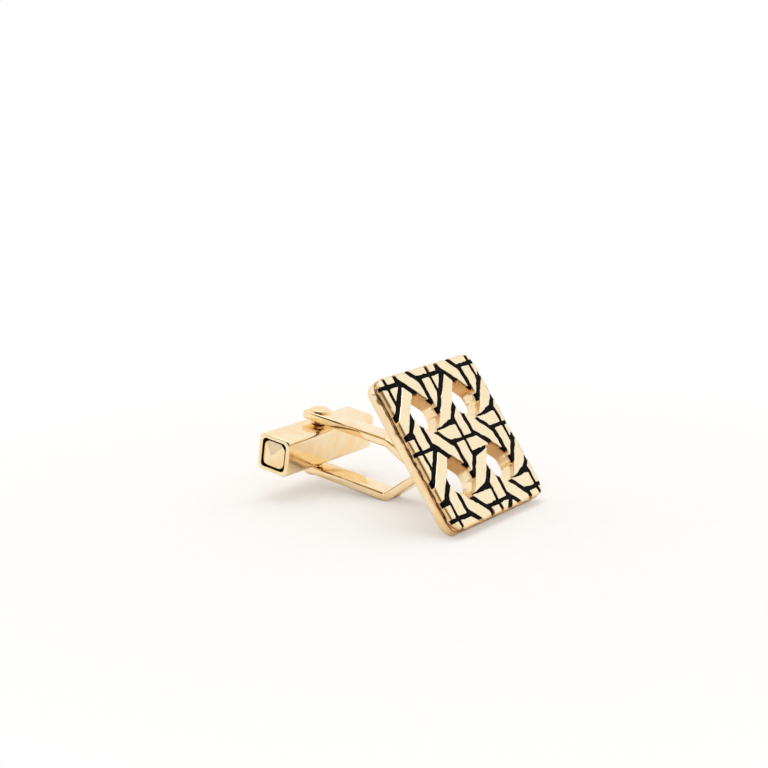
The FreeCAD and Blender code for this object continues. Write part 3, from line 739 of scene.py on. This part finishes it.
# Spacers: two plain turned washers on the pin that keep the bar midway between the arms, one against each.
# They are gold-plated like the arms and fit loosely on the pin.
washer_radius = 0.85
washer_hole = 0.6
washer_thickness = 0.39
washer_ease = 0.06
polished_washer = polished_gold("polished_washer", on_fork)
for name, seat in (("upper_washer", fork_gap / 2 - washer_thickness), ("lower_washer", -fork_gap / 2)):
    top = seat + washer_thickness
    profile = [
        (washer_hole, seat), (washer_radius - washer_ease, seat), (washer_radius, seat + washer_ease),
        (washer_radius, top - washer_ease), (washer_radius - washer_ease, top), (washer_hole, top),
        (washer_hole, seat),
    ]
    bm = bmesh.new()
    turned(bm, profile)
    washer = finish_piece(name + "_ring", bm, on_fork, crease=30)
    washer.data.materials.append(polished_washer)
    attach(washer, "frame")
    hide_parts(name)

# Swivel bar: a drawn square tube with eased long edges, cut to length and polished all over, which turns on
# the pin between the arms. Its rims are left bright around the end caps.
bar_half = 1.9
bar_length = 14.0
bar_round = 0.55
bore_half = 1.48
bore_round = 0.45
rim_ease = 0.18
lip_ease = 0.05
bar_end = bar_length / 2
# turns what is drawn flat into the bar's end, facing along the bar
across_bar = Matrix.Rotation(math.pi / 2, 4, "X")


def bar_ring(bm, half, radius, along):
    """A rounded square across the bar at a place along it."""
    return outline(bm, half, [(radius, corner_steps)], Matrix.Translation((0, along, 0)) @ across_bar)


bm = bmesh.new()
rims = []
for half, radius, ease, way in ((bar_half, bar_round, rim_ease, 1), (bore_half, bore_round, lip_ease, -1)):
    steps = rounded_wall(0, ease, ease, 0)[:-1]
    places = [(inset, along - bar_end) for inset, along in steps]
    places += [(inset, bar_end - along) for inset, along in steps[::-1]]
    rings = [bar_ring(bm, half - way * inset, radius - way * inset, along) for inset, along in places]
    for ring, following in zip(rings, rings[1:]):
        bmesh.ops.bridge_loops(bm, edges=ring + following)
    rims.append((rings[0], rings[-1]))
for outer, lip in zip(*rims):
    bmesh.ops.triangle_fill(bm, use_beauty=True, edges=outer + lip, normal=(0, 1, 0))
bar = finish_piece("swivel_bar", bm, on_fork, crease=35)
bar.data.materials.append(polished_gold("polished_bar", on_fork, along=(1.0, 0.05, 1.0)))
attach(bar, "toggle")
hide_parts("toggle_shell")

# End caps: a gold plate pressed into each end of the bar, with a low pyramid stud filed on it. The stud
# stands a groove's width inside the rim, its ridges crisp and its point just past the rim.
cap_half = 1.46
cap_thickness = 0.7
groove_width = 0.2
groove_depth = 0.45
stud_half = bore_half - groove_width
stud_round = 0.7
stud_plinth = 0.3
stud_rise = 0.5
polished_stud = polished_gold("polished_stud", on_fork, along=(1.0, 1.0, 0.3))
for name, side in (("toggle_cap_near", -1), ("toggle_cap_far", 1)):
    floor = side * (bar_end - groove_depth)
    bm = bmesh.new()
    rings = [
        bar_ring(bm, cap_half, bore_round, floor - side * cap_thickness),
        bar_ring(bm, cap_half, bore_round, floor),
        bar_ring(bm, stud_half, stud_round, floor),
        bar_ring(bm, stud_half, stud_round, floor + side * stud_plinth),
    ]
    for low, high in ((0, 1), (2, 3)):
        bmesh.ops.bridge_loops(bm, edges=rings[low] + rings[high])
    bmesh.ops.triangle_fill(bm, use_beauty=True, edges=rings[1] + rings[2], normal=(0, 1, 0))
    bmesh.ops.contextual_create(bm, geom=rings[0])
    crown = bmesh.ops.contextual_create(bm, geom=rings[3])["faces"]
    plinth = {vert for edge in rings[3] for vert in edge.verts}
    for ridge in ((1, 0, 1), (1, 0, -1)):
        whole = crown + list({edge for face in crown for edge in face.edges}) + list(plinth)
        cut = bmesh.ops.bisect_plane(bm, geom=whole, dist=cut_slack, plane_co=(0, 0, 0), plane_no=ridge)
        crown = [item for item in cut["geom"] if isinstance(item, bmesh.types.BMFace)]
        plinth |= {vert for face in crown for vert in face.verts}
    for vert in plinth:
        vert.co.y += side * stud_rise * (1 - max(abs(vert.co.x), abs(vert.co.z)) / stud_half)
    cap = finish_piece(name + "_stud", bm, on_fork, crease=12)
    cap.data.materials.append(polished_stud)
    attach(cap, "toggle")
    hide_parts(name)

# Groove enamel: a ring of black enamel fired into the groove around each stud. The black is partly the groove's
# own antique black and partly painted shade, standing for the shadow in the narrow recess. It is the same glossy
# black as on the plaque.
groove_fill = 0.15
stud_clear = 0.02
groove_black_and_painted_shade = black_enamel("groove_enamel", on_fork)
for name, side in (("groove_enamel_near", -1), ("groove_enamel_far", 1)):
    floor = side * (bar_end - groove_depth)
    bm = bmesh.new()
    rings = [
        bar_ring(bm, cap_half, bore_round, floor),
        bar_ring(bm, cap_half, bore_round, floor + side * groove_fill),
        bar_ring(bm, stud_half + stud_clear, stud_round, floor + side * groove_fill),
        bar_ring(bm, stud_half + stud_clear, stud_round, floor),
    ]
    for low, high in ((0, 1), (2, 3)):
        bmesh.ops.bridge_loops(bm, edges=rings[low] + rings[high])
    for outer, inner in ((1, 2), (0, 3)):
        bmesh.ops.triangle_fill(bm, use_beauty=True, edges=rings[outer] + rings[inner], normal=(0, 1, 0))
    enamel = finish_piece(name + "_ring", bm, on_fork, crease=40)
    enamel.data.materials.append(groove_black_and_painted_shade)
    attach(enamel, "toggle")
    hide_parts(name)

# Detent springs: two bowed leaves of spring steel inside the bar that bear on the pin's flats.
# They are blanked from rolled strip, with the rolling lines along them.
strip_bright = (0.62, 0.62, 0.61, 1.0)
strip_dark = (0.42, 0.42, 0.43, 1.0)
rolled_rough = 0.24
rolled_steel, point = new_finish("rolled_steel", on_fork)
lines = point.grain(scale=14.0, detail=3.0, stretch=(1.0, 0.04, 1.0))
stain_and_painted_reflection = point.grain(scale=0.9, detail=3.0).ramp(low=0.4, high=0.75)
colour = (lines * 0.5 + stain_and_painted_reflection * 0.4).mix(strip_bright, strip_dark)
steel = {"Base Color": colour, "Metallic": 1.0, "Roughness": rolled_rough + lines * 0.2}
lay_finish(point, steel, strength=0.2, depth=0.00001, height=lines)
for name in ("detent_spring_front", "detent_spring_rear"):
    frame["nodes"][name].data.materials.clear()
    frame["nodes"][name].data.materials.append(rolled_steel)

# Floor: a sheet of white card that the cufflink lies on, wide enough to reach the horizon. It is white to
# the eye, more so further off, and takes the cufflink's soft shadow. Its front is painted brown only where the
# metal mirrors it, a painted dark reflection.
floor_half = 3.0
card_white = (0.98, 0.96, 0.925, 1.0)
card_fibre = (0.965, 0.945, 0.905, 1.0)
card_bounce = (0.55, 0.53, 0.50, 1.0)
# the brown painted on the card's front for glossy rays only, a painted reflection
painted_front_reflection = (0.20, 0.13, 0.07, 1.0)
card_glow = 0.3
front_right = 0.57
front_near = 0.82
front_starts = 14.0
front_full = 40.0
white_starts = 20.0
white_full = 70.0


def ray(start, kind):
    """1 for light of a kind and 0 for the rest."""
    return start.node("ShaderNodeLightPath", {}, {}, kind)


def shown(start):
    """1 where the eye, a mirror or glass looks, and 0 where light is gathered."""
    looks = ray(start, "Is Camera Ray") + ray(start, "Is Glossy Ray") + ray(start, "Is Transmission Ray")
    return looks.clamped()


bm = bmesh.new()
bmesh.ops.create_grid(bm, x_segments=1, y_segments=1, size=floor_half)
bmesh.ops.translate(bm, vec=(0, 0, cad_box[0][2]), verts=bm.verts)
sheet = bpy.data.meshes.new("white_card")
bm.to_mesh(sheet)
bm.free()
card = set_out("white_card", sheet)
card_finish, point = new_finish("white_card", to_metres)
looks = shown(point)
# painted reflection: for glossy rays the card's front is painted brown, a dark patch in what the metal mirrors
front = (point.part("X") * front_right - point.part("Y") * front_near).ramp(front_starts, front_full)
front = front * ray(point, "Is Glossy Ray")
fibres = point.grain(scale=0.9, detail=3.0).ramp(low=0.4, high=0.8).mix(card_white, card_fibre)
shade = front.mix(looks.mix(card_bounce, fibres), painted_front_reflection)
paper = point.node("ShaderNodeBsdfDiffuse", {}, {"Color": shade})
white = point.node("ShaderNodeEmission", {}, {"Strength": 1.0})
far_off = point.node("ShaderNodeVectorMath", {"operation": "LENGTH"}, {0: point}, "Value")
far_off = far_off.ramp(white_starts, white_full)
near = ray(point, "Is Camera Ray") * card_glow
glow = (near + far_off * (1 - near)) * looks * (1 - front)
shader = point.node("ShaderNodeMixShader", {}, {0: glow, 1: paper, 2: white})
point.node("ShaderNodeOutputMaterial", {}, {"Surface": shader})
sheet.materials.append(card_finish)

# Studio: a white tent all round that lights softly, and a wide soft lamp overhead. The tent is seen at full
# white and lights at a lower level, and the metal mirrors the opening at its front in brown.
tent_light = 0.85
lamp_watts = 0.42
lamp_side = 0.3
lamp_place = Vector((-0.06, 0.06, 0.44))
opening_towards = Vector((0.45, -0.80, 0.40)).normalized()
opening_full = math.radians(38)
opening_ends = math.radians(68)
tent_white = (1.0, 1.0, 1.0, 1.0)
opening_brown = (0.19, 0.115, 0.05, 1.0)
tent = bpy.data.worlds.new("white_tent")
tent.use_nodes = True
tent.node_tree.nodes.clear()
bpy.context.scene.world = tent
start = Flow(tent.node_tree, None)
outwards = start.node("ShaderNodeTexCoord", {}, {}, "Generated")
to_opening = {0: outwards, 1: opening_towards}
facing = start.node("ShaderNodeVectorMath", {"operation": "DOT_PRODUCT"}, to_opening, "Value")
opened = facing.ramp(math.cos(opening_ends), math.cos(opening_full)) * ray(start, "Is Glossy Ray")
strength = tent_light + shown(start) * (1 - tent_light)
cloth = opened.mix(tent_white, opening_brown)
glow = start.node("ShaderNodeBackground", {}, {"Color": cloth, "Strength": strength})
start.node("ShaderNodeOutputWorld", {}, {"Surface": glow})
lamp = bpy.data.lights.new("soft_lamp", "AREA")
lamp.energy = lamp_watts
lamp.size = lamp_side
lamp_stand = set_out("soft_lamp", lamp)
lamp_stand.location = lamp_place
lamp_stand.rotation_euler = (-lamp_place).to_track_quat("-Z", "Y").to_euler()

# Camera: a short telephoto lens, low and to the right of the bar's near end. It looks slightly down and is
# held almost level.
azimuth = math.radians(35.93)
elevation = math.radians(12.28)
roll = math.radians(-0.67)
distance = 158.25
aim = Vector((-7.520, -0.409, 5.272))
sensor = 36.0
lens = 75.77
nearest = 0.005
backwards = Vector((
    math.sin(azimuth) * math.cos(elevation), -math.cos(azimuth) * math.cos(elevation), math.sin(elevation)
))
rightwards = Vector((math.cos(azimuth), math.sin(azimuth), 0))
camera = bpy.data.cameras.new("camera")
camera.sensor_width = sensor
camera.lens = lens
camera.clip_start = nearest
stand = set_out("camera", camera)
turn = Matrix((rightwards, backwards.cross(rightwards), backwards)).transposed().to_4x4()
place = Matrix.Translation(to_metres @ (aim + backwards * distance))
stand.matrix_world = place @ turn @ Matrix.Rotation(roll, 4, "Z")
bpy.context.scene.camera = stand
bpy.context.scene.view_settings.view_transform = "Standard"
